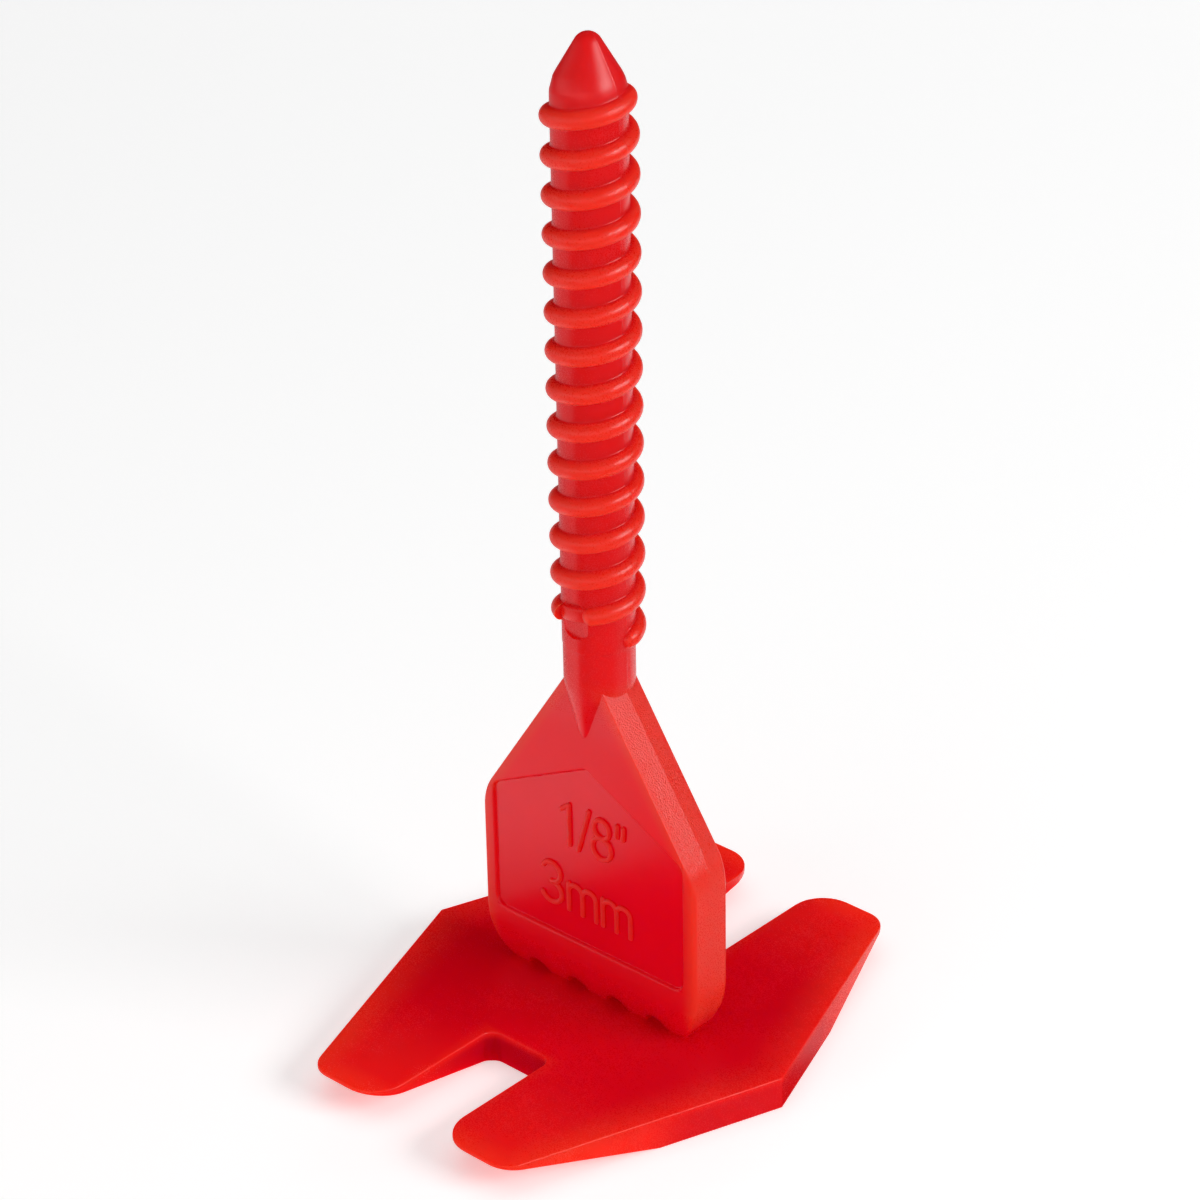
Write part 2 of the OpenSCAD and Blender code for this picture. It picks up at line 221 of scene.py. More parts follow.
def loft(rings, caps=True):
    """Points and faces of a skin through rings of equal count."""
    n, faces = len(rings[0]), []
    for k in range(len(rings) - 1):
        a, b = k * n, (k + 1) * n
        faces += [(a + i, a + (i + 1) % n, b + (i + 1) % n, b + i) for i in range(n)]
    if caps:
        faces += [tuple(range(n))[::-1], tuple(range((len(rings) - 1) * n, len(rings) * n))]
    return np.concatenate(rings), faces


def solid(name, points, faces):
    """Mesh object, in millimetres, with doubled points joined and every face looking outwards."""
    mesh = bpy.data.meshes.new(name)
    mesh.from_pydata([tuple(p) for p in points], [], faces)
    work = bmesh.new()
    work.from_mesh(mesh)
    bmesh.ops.remove_doubles(work, verts=work.verts, dist=SAME_POINT)
    bmesh.ops.recalc_face_normals(work, faces=work.faces)
    work.to_mesh(mesh)
    work.free()
    ob = bpy.data.objects.new(name, mesh)
    bpy.context.scene.collection.objects.link(ob)
    return ob


def combine(body, tool, operation):
    """Joins the tool to the body, or cuts it out of the body, and removes the tool."""
    step = body.modifiers.new(operation, "BOOLEAN")
    step.operation, step.solver, step.object = operation, "EXACT", tool
    done = bpy.data.meshes.new_from_object(body.evaluated_get(bpy.context.evaluated_depsgraph_get()))
    body.modifiers.clear()
    old, body.data = body.data, done
    bpy.data.meshes.remove(old)
    bpy.data.meshes.remove(tool.data)
    return body


def base_plate():
    """Forked plate with softened edges; its underside rises to thin prong tips."""
    side = [
        (NOTCH_W / 2, -NOTCH_Y, NOTCH_R), (NOTCH_W / 2, -BASE_L / 2, TIP_INNER_R),
        (BASE_END_W / 2, -BASE_L / 2, TIP_OUTER_R), (BASE_W / 2, 0, BASE_CORNER_R),
        (BASE_END_W / 2, BASE_L / 2, TIP_OUTER_R), (NOTCH_W / 2, BASE_L / 2, TIP_INNER_R),
        (NOTCH_W / 2, NOTCH_Y, NOTCH_R),
    ]
    ring = outline(side + [(-x, y, r) for x, y, r in reversed(side)])
    ring = split_at(split_at(ring, FLAT_L / 2), -FLAT_L / 2)
    rise = (BASE_T - TIP_T) / (BASE_L / 2 - FLAT_L / 2)

    def underside(xy):
        return np.maximum(0, np.abs(xy[:, 1]) - FLAT_L / 2) * rise

    thick = BASE_T - underside(ring)
    top_r = np.minimum(BASE_TOP_R, thick * TOP_R_SHARE)
    low_r = np.minimum(BASE_LOW_R, thick * LOW_R_SHARE)

    def level(step, z):
        xy = ring + (inset(ring, 1.0) - ring) * step[:, None]
        return np.c_[xy, z(xy)]

    bend = low_r * LOW_BEND
    rings = [level(low_r, underside), level(bend, lambda xy: underside(xy) + bend)]
    rings.append(level(low_r * 0, lambda xy: underside(xy) + low_r))
    for a in np.linspace(0, math.pi / 2, 6):
        rings.append(level(top_r * (1 - math.cos(a)), lambda xy: BASE_T - top_r * (1 - math.sin(a))))
    points, faces = loft(rings, caps=False)
    n = len(ring)
    faces.append(tuple(range((len(rings) - 1) * n, len(rings) * n)))

    # The underside in one flat face and the four prongs' sloping ones
    breaks = [i for i in range(n) if abs(abs(ring[i][1]) - FLAT_L / 2) < ON_LINE]
    middle = [i for i in range(n) if abs(ring[i][1]) < FLAT_L / 2 + ON_LINE]
    faces.append(tuple(middle[::-1]))
    for a, b in zip(breaks, breaks[1:] + [breaks[0] + n]):
        run = [i % n for i in range(a, b + 1)]
        if abs(ring[run[len(run) // 2]][1]) > FLAT_L / 2:
            faces.append(tuple(run[::-1]))
    return solid("base_plate", points, faces)


def drawn_in(z, full, z0, h, by):
    """Half width at height z of a side that bows in by some way towards z0."""
    r = (h * h + by * by) / (2 * by)
    return full - r + math.sqrt(r * r - max(0.0, min(h, z0 + h - z)) ** 2)


def spade_blade():
    """Blade that stands in the joint: rounded upright edges, feet drawn in, sloped shoulders with a crest."""
    tangent = SHOULDER_R * math.tan(SHOULDER_SLOPE / 2)
    turn = arc((SPADE_W / 2 - SHOULDER_R, SHOULDER_Z - tangent), SHOULDER_R, 0, SHOULDER_SLOPE, 12)
    crown = (CROWN_HALF, SHOULDER_Z + (SPADE_W / 2 - CROWN_HALF) / math.tan(SHOULDER_SLOPE))
    foot = [BASE_T - FOOT_SINK] + [BASE_T + FOOT_END_H * s for s in np.linspace(0, 1, 22) ** FOOT_BUNCH]
    rows = [(drawn_in(z, SPADE_W / 2, BASE_T, FOOT_END_H, FOOT_INSET), z) for z in foot]
    rows += [tuple(p) for p in turn] + [crown]
    rings = []
    for w, z in rows:
        t = drawn_in(z, SPADE_T / 2, BASE_T, FOOT_FACE_H, (SPADE_T - LEG_T) / 2)
        sloped = np.clip((z - turn[0][1]) / (turn[-1][1] - turn[0][1]), 0, 1)
        r = EDGE_R * min(1, t / SPADE_T * 2)
        r += (SHOULDER_EDGE_R - r) * sloped
        crease = min(SHOULDER_CREASE, w - r - LEAST_LAND) * sloped
        low = arc((w - crease - r, r - t), r, -math.pi / 2, 0, 5)
        right = np.concatenate([low, [(w, CREST_Y * sloped)], low[::-1] * (1, -1)])
        rings.append(np.c_[np.concatenate([right, right[::-1] * (-1, 1)]), np.full(len(right) * 2, z)])
    return solid("spade_blade", *loft(rings))


def break_arches():
    """Round cutters that leave the legs of the break line."""
    points, faces = [], []
    for i in range(LEGS - 1):
        circle = arc(((i - (LEGS - 2) / 2) * LEG_PITCH, BASE_T), ARCH_W / 2, 0, 2 * math.pi, 40)[:-1]
        p, f = loft([standing(circle, y) for y in (-ARCH_REACH, ARCH_REACH)])
        faces += [tuple(v + len(points) * len(p) for v in face) for face in f]
        points.append(p)
    return solid("break_arches", np.concatenate(points), faces)


def panel_cutter():
    """House-shaped cutter whose wall has a rounded lip and a rounded foot."""
    eaves = PANEL_PEAK_Z - PANEL_FALL * PANEL_HALF
    ring = outline([(PANEL_HALF, PANEL_Z, PANEL_R), (PANEL_HALF, eaves, PANEL_R),
                    (0, PANEL_PEAK_Z, PANEL_PEAK_R),
                    (-PANEL_HALF, eaves, PANEL_R), (-PANEL_HALF, PANEL_Z, PANEL_R)])
    at_sill = np.clip((PANEL_Z + PANEL_R - ring[:, 1]) / PANEL_R, 0, 1)
    rings = []
    for out, up in PANEL_WALL:
        xz = inset(ring, -out)
        xz[:, 1] += (SILL_LIFT - SILL_LEAN * up) * at_sill
        rings.append(standing(xz, PANEL_FLOOR_Y - up))
    return solid("panel_cutter", *loft(rings))


def core_radius(z):
    """Radius of the core, and of the cone above it, at height z."""
    past = np.maximum(0, z - BEND_Z)
    bend = CORE_R - TIP_SHOULDER_R + np.sqrt(np.maximum(0, TIP_SHOULDER_R ** 2 - past ** 2))
    return np.where(z <= CONE_Z, bend, (POINT_Z - z) * math.tan(TIP_SLOPE))


def ridge_section():
    """Offsets along the post and heights above the core, over the rounded ridge from foot to foot."""
    bow_r = ((RIDGE_W / 2) ** 2 + RIDGE_H ** 2) / (2 * RIDGE_H)
    sunk = RIDGE_H - bow_r
    reach = math.sqrt((bow_r + RIDGE_ROOT_R) ** 2 - (RIDGE_ROOT_R - sunk) ** 2)
    touch = math.asin(reach / (bow_r + RIDGE_ROOT_R))
    bow = arc((0, sunk), bow_r, math.pi / 2 + touch, math.pi / 2 - touch, 12)
    root = arc((reach, RIDGE_ROOT_R), RIDGE_ROOT_R, -math.pi / 2 - touch, -math.pi / 2, 3)[1:]
    return np.concatenate([(root * (-1, 1))[::-1], bow, root])


def ridge_skin():
    """Points of core and thread by column and row, and the rows in a turn. Rows follow the ridge."""
    ridge = ridge_section()
    flat = np.linspace(ridge[-1, 0] - PITCH, ridge[0, 0], 7)[1:-1]
    section = np.concatenate([np.c_[flat, flat * 0], ridge])
    per_turn = len(section)
    turns = np.arange(math.ceil(TURNS) + 2 * SPARE_TURNS) - SPARE_TURNS
    whole, column, row = np.meshgrid(turns, np.arange(COLUMNS), np.arange(per_turn), indexing="ij")
    turn = whole + column / COLUMNS
    lead_in = np.sqrt(np.clip(1 - (1 - np.clip(turn / RUN_IN, 0, 1)) ** 2, 0, 1))
    lead_out = np.sin(math.pi / 2 * np.clip((TURNS - turn) / RUN_OUT, 0, 1))
    full = np.where(turn < TURNS / 2, lead_in, lead_out)
    nose = np.sqrt(1 - (1 - np.clip((turn - NOSE_START) / NOSE_RUN, 0, 1)) ** 2)
    full = np.where(turn > GATE_MID, full * nose, full)
    width = np.where(row < len(flat), 1, RIDGE_END_W + (1 - RIDGE_END_W) * full)
    z = np.clip(THREAD_Z + PITCH * turn + section[row, 0] * width, CORE_Z, SKIN_TOP_Z)
    r = core_radius(z) + section[row, 1] * full
    skin = np.stack([r * np.cos(BEARINGS[column]), r * np.sin(BEARINGS[column]), z], -1)
    return skin.transpose(1, 0, 2, 3).reshape(COLUMNS, -1, 3), per_turn


def post_ring(r, z, apart=0.0, flare=0.0):
    """Level ring about the post. The root's rings are spread to the spade's faces and flare out on them."""
    x, y = r * np.cos(BEARINGS), r * np.sin(BEARINGS) + apart * np.sign(np.sin(BEARINGS))
    proud = np.maximum(0, np.abs(y) - SPADE_T / 2)
    x += flare * x / np.hypot(x, FLARE_SOFT) * np.exp(-proud / FLARE_RUN)
    return np.c_[x, y, np.full(COLUMNS, z)]


def neck_rings():
    """Rings from the root's low tips on the spade's faces, up the neck to the core."""
    rings = [post_ring(ROOT_TIP_R, ROOT_Z - ROOT_TIP_DROP, SPADE_T / 2 - ROOT_TIP_SINK)]
    for s in np.linspace(ROOT_START, ROOT_END, 16):
        spread = s - max(0.0, s - ROOT_EASE) ** 2 / ROOT_EASE_RUN
        apart, flare = SPADE_T / 2 * (1 - spread), FLARE * max(0.0, 1 - s)
        rings.append(post_ring(NECK_D / 2 * spread, ROOT_Z + ROOT_H * s, apart, flare))
    upright = np.linspace(ROOT_Z + ROOT_H * ROOT_END, CORE_Z - STEP_FOOT_DROP, 12)[1:]
    rings += [post_ring(NECK_D / 2, z) for z in upright]
    rings.append(post_ring(NECK_D / 2 + STEP_SOFT, CORE_Z - STEP_LOW_DROP))
    rings.append(post_ring(CORE_R - STEP_SOFT, CORE_Z - STEP_TOP_DROP))
    return rings


def point_rings():
    """Rings from the thread's end up the cone and over the rounded tip."""
    tip = arc((0, POST_H - TIP_R), TIP_R, TIP_SLOPE, math.pi / 2, 9)[:-1]
    cone = np.linspace(SKIN_TOP_Z, tip[0][1], 6)[1:-1]
    return [post_ring(float(core_radius(z)), z) for z in cone] + [post_ring(r, z) for r, z in tip]


def threaded_post():
    """Neck, core, thread and point as one skin."""
    skin, per_turn = ridge_skin()
    rows = skin.shape[1]

    def place(c, k):
        return c * rows + k if c < COLUMNS else k + per_turn

    faces = []
    for c in range(COLUMNS):
        for k in range(rows - per_turn - 1):
            faces.append((place(c, k), place(c + 1, k), place(c + 1, k + 1), place(c, k + 1)))
    points, start = [skin.reshape(-1, 3)], COLUMNS * rows
    neck, point = neck_rings(), point_rings()
    for rings, joined_ring, joined_row in ((neck, len(neck) - 1, 0), (point, 0, rows - per_turn - 1)):
        p, f = loft(rings, caps=False)
        points.append(p)
        faces += [tuple(v + start for v in face) for face in f]
        edge = start + joined_ring * COLUMNS
        for c in range(COLUMNS):
            d = (c + 1) % COLUMNS
            faces.append((edge + c, edge + d, place(c + 1, joined_row), place(c, joined_row)))
        start += len(p)
    faces.append(tuple(COLUMNS * rows + c for c in range(COLUMNS))[::-1])
    last = start - COLUMNS
    points.append(np.array([(0, 0, POST_H)]))
    faces += [(last + c, last + (c + 1) % COLUMNS, start) for c in range(COLUMNS)]
    return solid("threaded_post", np.concatenate(points), faces)


def gate_pocket():
    """Round cutter for the spot face that the moulding gate leaves in the lowest turn."""
    circle = arc((0, CORE_Z + GATE_RISE), GATE_D / 2, 0, 2 * math.pi, 56)[:-1]
    return solid("gate_pocket", *loft([standing(circle, y) for y in (-GATE_REACH, -GATE_FLOOR)]))


def gate_bar():
    """Low bar that carries the thread on through the gate pocket."""
    rings = []
    for bearing in BAR_BEARINGS:
        z = THREAD_Z + PITCH * ((bearing - THREAD_START) / (2 * math.pi) % 1)
        c, s = math.cos(bearing), math.sin(bearing)
        rings.append(np.array([(r * c, r * s, z + along) for along, r in BAR_SECTION]))
    return solid("gate_bar", *loft(rings))


def ridge_nose():
    """Ball that rounds off the end of the ridge at the gate pocket."""
    bearing = THREAD_START + 2 * math.pi * NOSE_MID
    middle = (CORE_R * math.cos(bearing), CORE_R * math.sin(bearing), THREAD_Z + PITCH * NOSE_MID)
    rings = []
    for a in np.radians(np.linspace(-85, 85, 18)):
        circle = arc((0, 0), NOSE_R * math.cos(a), 0, 2 * math.pi, 28)[:-1]
        rings.append(np.c_[circle, np.full(len(circle), NOSE_R * math.sin(a))] + middle)
    return solid("ridge_nose", *loft(rings))


def bead(path):
    """Raised half-round stroke along (x, z) points on the panel's floor: a loop, or with round ends."""
    path = np.asarray(path, float)
    closed = np.allclose(path[0], path[-1])
    if closed:
        path = path[:-1]
        along = np.roll(path, -1, 0) - np.roll(path, 1, 0)
    else:
        along = np.gradient(path, axis=0)
    along /= np.linalg.norm(along, axis=1)[:, None]
    stations = [(p, t, 1.0) for p, t in zip(path, along)]
    if not closed:
        first, last, ends = along[0] * STROKE_HALF, along[-1] * STROKE_HALF, np.radians([78, 55, 30])
        stations = [(path[0] - first * math.sin(a), along[0], math.cos(a)) for a in ends] + stations
        stations += [(path[-1] + last * math.sin(a), along[-1], math.cos(a)) for a in ends[::-1]]
    rings = []
    for p, t, s in stations:
        bow = [(STROKE_HALF * s * math.cos(a), -STROKE_RISE * s * math.sin(a) ** STROKE_BOW)
               for a in np.linspace(0, math.pi, 9)]
        ring = [(STROKE_HALF * s, STROKE_SINK)] + bow + [(-STROKE_HALF * s, STROKE_SINK)]
        rings.append(np.array([(p[0] - t[1] * o, PANEL_FLOOR_Y + y, p[1] + t[0] * o) for o, y in ring]))
    return loft(rings + rings[:1], caps=False) if closed else loft(rings)


def size_marks():
    """The joint's size in plain strokes: the fraction of an inch above, the millimetres below."""
    def line(start, end):
        return np.linspace(start, end, 9)

    def bow(x, z, rx, rz, a0, a1):
        return arc((0, 0), 1, math.radians(a0), math.radians(a1), 28) * (rx, rz) + (x, z)

    top, low = INCH_ROW_Z, MM_ROW_Z
    one = [line((-1.45, top), (-1.45, top + 2.75)), line((-1.5, top + 2.7), (-2.05, top + 2.3))]
    slash = [line((-0.75, top - 0.1), (0.15, top + 2.9))]
    eight = [bow(1.15, top + 2.08, 0.6, 0.62, 270, -90), bow(1.15, top + 0.74, 0.74, 0.72, 90, 450)]
    inch = [line((x + 0.04, top + 2.8), (x, top + 2.05)) for x in (2.36, 2.86)]
    three = [bow(THREE_X, low + 2.08, 0.72, 0.66, 155, -90), bow(THREE_X, low + 0.72, 0.82, 0.72, 90, -155)]
    letters = []
    for x in (LETTER_X, LETTER_X + LETTER_STEP):
        letters.append(line((x, low), (x, low + 1.85)))
        for left in (x, x + HUMP_W):
            hump = bow(left + HUMP_W / 2, low + 1.35, HUMP_W / 2, 0.5, 180, 0)
            letters.append(np.concatenate([hump, line((left + HUMP_W, low + 1.3), (left + HUMP_W, low))]))
    return [solid("size_mark", *bead(path)) for path in one + slash + eight + inch + three + letters]


def on_crest(edge):
    """Whether an edge of the finished mesh lies along the crest of the spade's shoulders."""
    for v in edge.verts:
        x, y, z = v.co / MM
        if abs(x) <= CREST_FROM_X or abs(y) >= CREST_REACH_Y or not SHOULDER_Z < z < CORE_Z - CREST_CLEAR:
            return False
    return True


def finished(ob, name):
    """Scales a piece to metres and gives it smooth faces that break at its real edges."""
    ob.name = ob.data.name = name
    work = bmesh.new()
    work.from_mesh(ob.data)
    bmesh.ops.remove_doubles(work, verts=work.verts, dist=SAME_AFTER_CUTS)
    bmesh.ops.dissolve_degenerate(work, edges=work.edges, dist=SAME_POINT)
    bmesh.ops.scale(work, verts=work.verts, vec=(MM, MM, MM))
    for face in work.faces:
        face.smooth = True
    for edge in work.edges:
        limit = CREST_BREAK if on_crest(edge) else EDGE_BREAK
        edge.smooth = len(edge.link_faces) == 2 and edge.calc_face_angle() < limit
    work.to_mesh(ob.data)
    work.free()
    even = ob.modifiers.new("even_normals", "WEIGHTED_NORMAL")
    even.keep_sharp = True
    done = bpy.data.meshes.new_from_object(ob.evaluated_get(bpy.context.evaluated_depsgraph_get()))
    ob.modifiers.clear()
    ob.data = done
    return ob


class Wire:
    """One output in a material's nodes. Arithmetic on it adds Math nodes."""

    def __init__(self, tree, out):
        self.tree, self.out = tree, out

    def node(self, kind, settings, inputs, output=0):
        """Any other node: its type, its settings, then the values or links of its sockets."""
        made = self.tree.nodes.new(kind)
        for key, value in settings.items():
            setattr(made, key, value)
        for key, value in inputs.items():
            if isinstance(value, Wire):
                self.tree.links.new(value.out, made.inputs[key])
            else:
                made.inputs[key].default_value = value
        return Wire(self.tree, made.outputs[output])

    def maths(self, operation, a, b=0.0):
        """One Math node."""
        return self.node("ShaderNodeMath", {"operation": operation}, {0: a, 1: b})

    def __add__(self, other):
        return self.maths("ADD", self, other)

    def __sub__(self, other):
        return self.maths("SUBTRACT", self, other)

    def __rsub__(self, other):
        return self.maths("SUBTRACT", other, self)

    def __mul__(self, other):
        return self.maths("MULTIPLY", self, other)

    def __neg__(self):
        return self * -1

    def __abs__(self):
        return self.maths("ABSOLUTE", self)

    __radd__, __rmul__ = __add__, __mul__

    def least(self, other):
        """The smaller of two values."""
        return self.maths("MINIMUM", self, other)

    def most(self, other):
        """The larger of two values."""
        return self.maths("MAXIMUM", self, other)

    def root(self):
        """The square root."""
        return self.maths("SQRT", self)

    def past(self, low, high):
        """0 below low, 1 above high, and a smooth rise between them."""
        return self.node("ShaderNodeMapRange", {"interpolation_type": "SMOOTHSTEP"},
                         {"Value": self, "From Min": low, "From Max": high})

    def until(self, low, high):
        """1 below low, 0 above high, and a smooth fall between them."""
        return 1 - self.past(low, high)

    def mixed(self, a, b):
        """Colour a where this is 0 and colour b where it is 1."""
        return self.node("ShaderNodeMix", {"data_type": "RGBA"}, {0: self, 6: a, 7: b}, 2)

    def noise(self, scale, detail):
        """Noise that runs from 0 to 1 over the places that this wire holds."""
        return self.node("ShaderNodeTexNoise", {}, {"Vector": self, "Scale": scale, "Detail": detail})

    def parts(self, axes):
        """The named parts of the place that this wire holds, in millimetres."""
        outputs = ["xyz".index(axis) for axis in axes]
        return [self.node("ShaderNodeSeparateXYZ", {}, {0: self}, i) * (1 / MM) for i in outputs]


def new_material(name, values):
    """A material with fixed values set on its shader, that shader, and a wire of places in metres."""
    mat = bpy.data.materials.new(name)
    mat.use_nodes = True
    tree = mat.node_tree
    shader = next(n for n in tree.nodes if n.type == "BSDF_PRINCIPLED")
    for socket, value in values.items():
        shader.inputs[socket].default_value = value
    coords = tree.nodes.new("ShaderNodeTexCoord")
    return mat, shader, Wire(tree, coords.outputs["Object"])


def link(shader, socket, wire):
    """Feeds a shader's socket from a wire."""
    wire.tree.links.new(wire.out, shader.inputs[socket])


def from_base_side(ax, ay):
    """Distance in from the slanted sides of the base."""
    return (BASE_W / 2 - ax) * math.cos(SIDE_SLANT) - ay * math.sin(SIDE_SLANT)


def painted_rim_glow(ax, ay, z):
    """Painted glow on the base's edges and prongs, standing in for light that comes through the thin plastic.
    """
    from_notch = (ax - NOTCH_W / 2).most((NOTCH_Y - ay) * NOTCH_END_STRETCH) * NOTCH_STRETCH + NOTCH_OFFSET
    from_rim = from_base_side(ax, ay).least(from_notch).least(BASE_L / 2 - ay)
    rim = from_rim.until(*RIM_DEPTH) * (ay.past(*PRONG_RUN) * PRONG_SHARE + RIM_SHARE)
    return rim.most(ay.past(*PRONG_THIN) * PRONG_TIP_SHARE) * z.until(*ABOVE_BASE)


def painted_wall_shade(ax, ay, z):
    """Painted shade on the upright walls of the notches and of the base's middle, fading out along their top
    edge.
    """
    in_notch = ax.until(*NOTCH_SIDE) * (1 - ay.past(*NOTCH_RUN) * NOTCH_FADE)
    return in_notch.most(ay.until(*BASE_MIDDLE) * MIDDLE_SHARE) * z.until(*BASE_WALL_TOP)


def painted_leg_light(ax, ay, z):
    """Painted light that lifts the shade on the legs of the break line, and weakly on the strip of the base
    that they stand on.
    """
    row = ay.until(*LEG_DEPTH) * ax.until(*LEG_ROW) * z.past(*LEG_FOOT) * z.until(*LEG_TOP)
    return row * (z.past(*LEG_CLEAR) * (1 - LEG_FOOT_SHARE) + LEG_FOOT_SHARE)


def painted_blade_glow(ax, z):
    """Painted glow on the narrow sides and shoulders of the spade."""
    from_slope = (SPADE_W / 2 - ax) * math.cos(SHOULDER_SLOPE) - (z - SHOULDER_Z) * math.sin(SHOULDER_SLOPE)
    return (SPADE_W / 2 - ax).least(from_slope).until(*BLADE_EDGE) * z.past(*BLADE_FOOT) * z.until(*BLADE_TOP)


def from_panel_edge(ax, z):
    """Distance in from the panel's outline."""
    from_peak = (PANEL_PEAK_Z - z - ax * PANEL_FALL) * math.cos(math.atan(PANEL_FALL))
    return (PANEL_HALF - ax).least(z - PANEL_Z).least(from_peak)


def red_plastic():
    """Satin moulded plastic, a little translucent, grained where the mould was spark-eroded. Its colour also
    carries painted glow, painted shade, painted light and painted glints.
    """
    mat, shader, where = new_material("red_plastic", {
        "Subsurface Weight": 1.0, "Subsurface Radius": (1.0, 0.15, 0.08),
        "Subsurface Scale": 0.0025, "IOR": 1.48})
    grain = where.node("ShaderNodeAttribute", {"attribute_name": "grain"}, {}, 2)
    cloud, fine, coarse = (where.noise(*noise) for noise in (CLOUD_NOISE, FINE_NOISE, COARSE_NOISE))
    x, y, z = where.parts("xyz")
    ax, ay = abs(x), abs(y)

    in_panel, front = from_panel_edge(ax, z), (-y).past(*BLADE_FRONT)
    panel = in_panel.past(*PANEL_INSIDE) * front
    marks = in_panel.past(*MARKS_INSIDE) * (-y).past(*MARKS_FRONT)
    margin = in_panel.until(*PANEL_LIP) * front * z.past(*MARGIN_FOOT) * z.until(*MARGIN_TOP)
    ridge = (x * x + y * y).root().past(*RIDGE_RUN) * z.past(*THREAD_FOOT)
    seam = ay.until(*SEAM_SIDES) * z.past(*SEAM_FOOT)

    red = cloud.past(*CLOUD_RANGE).mixed(DEEP_RED, DEEP_RED_CLOUD)
    red = z.past(*NECK_RUN).mixed(red, POST_RED)
    # Painted glow: the base's rim and prongs lighter and more orange, as if lit through the thin plastic
    red = painted_rim_glow(ax, ay, z).mixed(red, PAINTED_RIM_GLOW)
    # Painted shade on the notch walls and on the middle walls of the base
    red = painted_wall_shade(ax, ay, z).mixed(red, PAINTED_WALL_SHADE)
    # Painted light on the legs of the break line, lifting their shade
    red = painted_leg_light(ax, ay, z).mixed(red, PAINTED_LEG_LIGHT)
    # Painted glow on the thread's ridge, the spade's narrow sides and shoulders and the raised marks, and a
    # faint painted sheen on the panel's margin
    edges = ridge.most(painted_blade_glow(ax, z)).most((marks * MARK_SHARE).most(margin * MARGIN_SHARE))
    red = edges.mixed(red, PAINTED_EDGE_GLOW)
    # Real grain whose spots are painted lighter as painted glints
    link(shader, "Base Color", (coarse.past(*COARSE_RANGE) * grain * GRAIN_AND_GLINT_SHARE).mixed(red, GRAIN_AND_GLINT_RED))

    satin = SATIN + grain * (GRAIN_ROUGH + (coarse - NOISE_MEAN) * GRAIN_SPREAD) + marks * MARK_ROUGH
    satin = satin + margin * MARGIN_ROUGH - panel * PANEL_POLISH + z.past(*POINT_FOOT) * POINT_ROUGH
    satin = satin + (cloud - NOISE_MEAN) * CLOUD_ROUGH + (fine - NOISE_MEAN) * FINE_ROUGH
    link(shader, "Roughness", satin)

    grains = (coarse * COARSE_SHARE + fine * (1 - COARSE_SHARE)) * (grain * GRAIN_RISE + marks * MARK_RISE)
    relief = grains + fine * SKIN_RISE + seam * SEAM_RISE
    bump = {"Strength": 1.0, "Distance": RELIEF_DEPTH, "Height": relief}
    link(shader, "Normal", where.node("ShaderNodeBump", {}, bump))
    return mat


def pale_floor():
    """Matt white with a faint cloudiness; its own glow keeps it from falling to grey."""
    mat, shader, where = new_material("pale_floor", {
        "Roughness": 0.7, "Emission Color": WHITE, "Emission Strength": 0.38})
    link(shader, "Base Color", where.noise(*FLOOR_NOISE).mixed(FLOOR_PALE, FLOOR_WHITE))
    return mat


def painted_reflection_card():
    """Glowing card, a painted reflection of the lit floor with soft edges: bright on the left, dimmer behind
    on the right, with a painted shadow under the base and near the clip.
    """
    mat, shader, where = new_material("painted_reflection_card", {"Base Color": BLACK, "Emission Strength": CARD_GLOW})
    x, y = where.parts("xy")
    ax, ay = abs(x), abs(y)
    to_right = (x - y * CARD_TURN).past(*CARD_SPLIT)
    left = (1 - to_right) * (1 - (-x).past(*CARD_LEFT) * CARD_LEFT_FADE)
    right = to_right * y.past(*CARD_BACK) * CARD_RIGHT_SHARE
    # Painted shadow under the base, and in clear a painted shadow near the front of the clip
    shade = from_base_side(ax, ay).past(*SHADE_SIDES) * ay.until(*SHADE_ENDS)
    clear = (x * x + y * y).root().past(*CARD_NEAR).most(y.past(*CARD_BACK))
    link(shader, "Emission Color", ((left + right) * clear * (1 - shade)).mixed(BLACK, WHITE))
    return mat


def mark_grain(mesh):
    """Writes how grained each corner of a piece is: shoulders most, ridge and narrow sides less."""
    values = np.zeros(len(mesh.loops), np.float32)
    for face in mesh.polygons:
        x, y, z = face.center / MM
        n = face.normal
        on_side = abs(n.x) > SIDEWAYS and abs(y) < SPADE_T / 2 - EDGE_R and (z < ROOT_Z or n.z > UPWARDS)
        worth = 0.0
        if z > CORE_Z:
            worth = RIDGE_GRAIN * np.clip((math.hypot(x, y) - RIDGE_GRAIN_FROM) / RIDGE_GRAIN_RUN, 0, 1)
        elif on_side and GRAIN_FOOT_Z < z < CORE_Z:
            worth = np.interp(n.z, GRAIN_UPWARDS, (SIDE_GRAIN, SHOULDER_GRAIN))
        values[face.loop_start:face.loop_start + face.loop_total] = worth
    mesh.attributes.new("grain", "FLOAT", "CORNER").data.foreach_set("value", values)


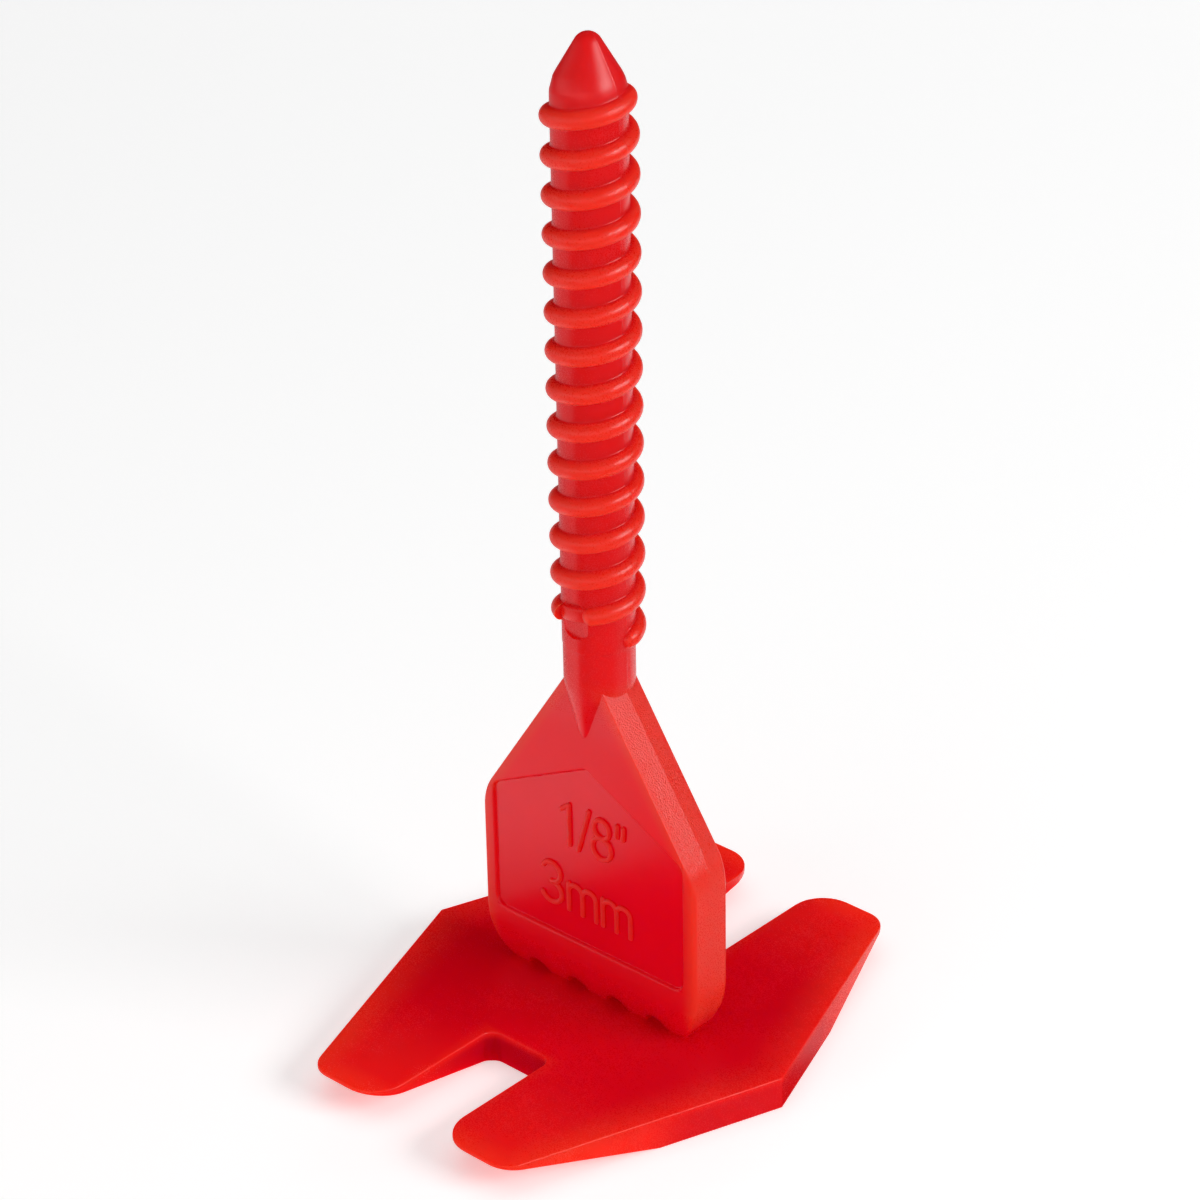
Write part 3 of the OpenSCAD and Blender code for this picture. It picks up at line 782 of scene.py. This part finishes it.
def photo_camera():
    """Camera at the photograph's viewing angle."""
    back = FRONT * math.cos(VIEW_HEIGHT) + Vector((0, 0, math.sin(VIEW_HEIGHT)))
    level_up = back.cross(ASIDE)
    right = ASIDE * math.cos(VIEW_ROLL) + level_up * math.sin(VIEW_ROLL)
    up = level_up * math.cos(VIEW_ROLL) - ASIDE * math.sin(VIEW_ROLL)
    camera = bpy.data.objects.new("camera", bpy.data.cameras.new("camera"))
    camera.data.sensor_width, camera.data.lens = SENSOR_W, PHOTO_FOCAL * SENSOR_W / PHOTO_SIZE
    camera.data.clip_start, camera.data.clip_end = 0.005, 20
    camera.matrix_world = Matrix((right, up, back)).transposed().to_4x4()
    camera.location = Vector((0, 0, AIM_Z)) + ASIDE * AIM_RIGHT + back * VIEW_DISTANCE
    bpy.context.scene.collection.objects.link(camera)
    return camera


def level_sheet(name, corners, z, mat):
    """Flat sheet of the stage, in metres, from one corner to the opposite one."""
    (x0, y0), (x1, y1) = corners
    mesh = bpy.data.meshes.new(name)
    mesh.from_pydata([(x0, y0, z), (x1, y0, z), (x1, y1, z), (x0, y1, z)], [], [(0, 1, 2, 3)])
    mesh.materials.append(mat)
    ob = bpy.data.objects.new(name, mesh)
    bpy.context.scene.collection.objects.link(ob)
    return ob


def studio(bearing, height, reach):
    """A place round the clip, by bearing and height in degrees as seen from the camera."""
    b, h = math.radians(bearing), math.radians(height)
    return ((ASIDE * math.sin(b) + FRONT * math.cos(b)) * math.cos(h) + Vector((0, 0, math.sin(h)))) * reach


def area_light(name, place, aim_z, size, watts, mirrored):
    """Soft lamp, its size in metres, that looks at a height on the post's axis and may be mirrored."""
    lamp = bpy.data.lights.new(name, "AREA")
    lamp.shape, lamp.energy = "RECTANGLE", watts
    lamp.size, lamp.size_y = size
    ob = bpy.data.objects.new(name, lamp)
    ob.location = place
    ob.rotation_euler = (Vector((0, 0, aim_z)) - place).to_track_quat("-Z", "Y").to_euler()
    ob.visible_glossy = mirrored
    bpy.context.scene.collection.objects.link(ob)


def pale_wall():
    """World with one soft pale wall, low on the left, and black elsewhere."""
    world = bpy.data.worlds.new("studio")
    world.use_nodes = True
    sky = world.node_tree.nodes["Background"]
    sky.inputs["Color"].default_value = WHITE
    ray = Wire(world.node_tree, world.node_tree.nodes.new("ShaderNodeTexCoord").outputs["Generated"])
    middle = studio(WALL_BEARING, WALL_HEIGHT, 1)
    facing = ray.node("ShaderNodeVectorMath", {"operation": "DOT_PRODUCT"}, {0: ray, 1: middle}, 1)
    height = ray.node("ShaderNodeSeparateXYZ", {}, {0: ray}, 2)
    patch = facing.past(*WALL_SPREAD) * WALL_GLOW * height.until(*WALL_FADE) * height.past(*WALL_FOOT)
    link(sky, "Strength", patch)
    return world


# The clip: blade with its break line and panel, then the plate under it and the post on top
clip = combine(spade_blade(), break_arches(), "DIFFERENCE")
combine(clip, panel_cutter(), "DIFFERENCE")
for stroke in size_marks():
    combine(clip, stroke, "UNION")
combine(clip, base_plate(), "UNION")
post = combine(threaded_post(), gate_pocket(), "DIFFERENCE")
combine(post, gate_bar(), "UNION")
combine(post, ridge_nose(), "UNION")
combine(clip, post, "UNION")
finished(clip, "clip_body")
clip.data.materials.clear()
clip.data.materials.append(red_plastic())
mark_grain(clip.data)
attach(clip, "root")
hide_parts("levelling_clip")

# Pale floor, which lights the clip but isn't mirrored in it; what the plastic mirrors is the glowing card
# below it, a painted reflection of the floor with a painted shadow of the base
floor = level_sheet("floor", FLOOR_CORNERS, 0, pale_floor())
floor.visible_glossy = False
level_sheet("painted_reflection_card", CARD_CORNERS, -CARD_DROP, painted_reflection_card())

# Soft studio light and the camera
mid_clip = Vector((0, 0, 0.03))
area_light("right_softbox", studio(60, 28, 0.45) + mid_clip,
           aim_z=mid_clip.z, size=(0.29, 0.16), watts=1.12, mirrored=True)
area_light("top_softbox", Vector((0, 0, 1.0)), aim_z=0, size=(1.5, 1.5), watts=5.5, mirrored=False)
area_light("left_fill", studio(-48, 8, 0.5), aim_z=0.02, size=(0.5, 0.25), watts=0.82, mirrored=False)
area_light("back_fill", studio(172, 10, 0.5), aim_z=0.01, size=(0.5, 0.25), watts=0.55, mirrored=False)
bpy.context.scene.camera = photo_camera()
bpy.context.scene.world = pale_wall()
bpy.context.scene.view_settings.view_transform = "Standard"
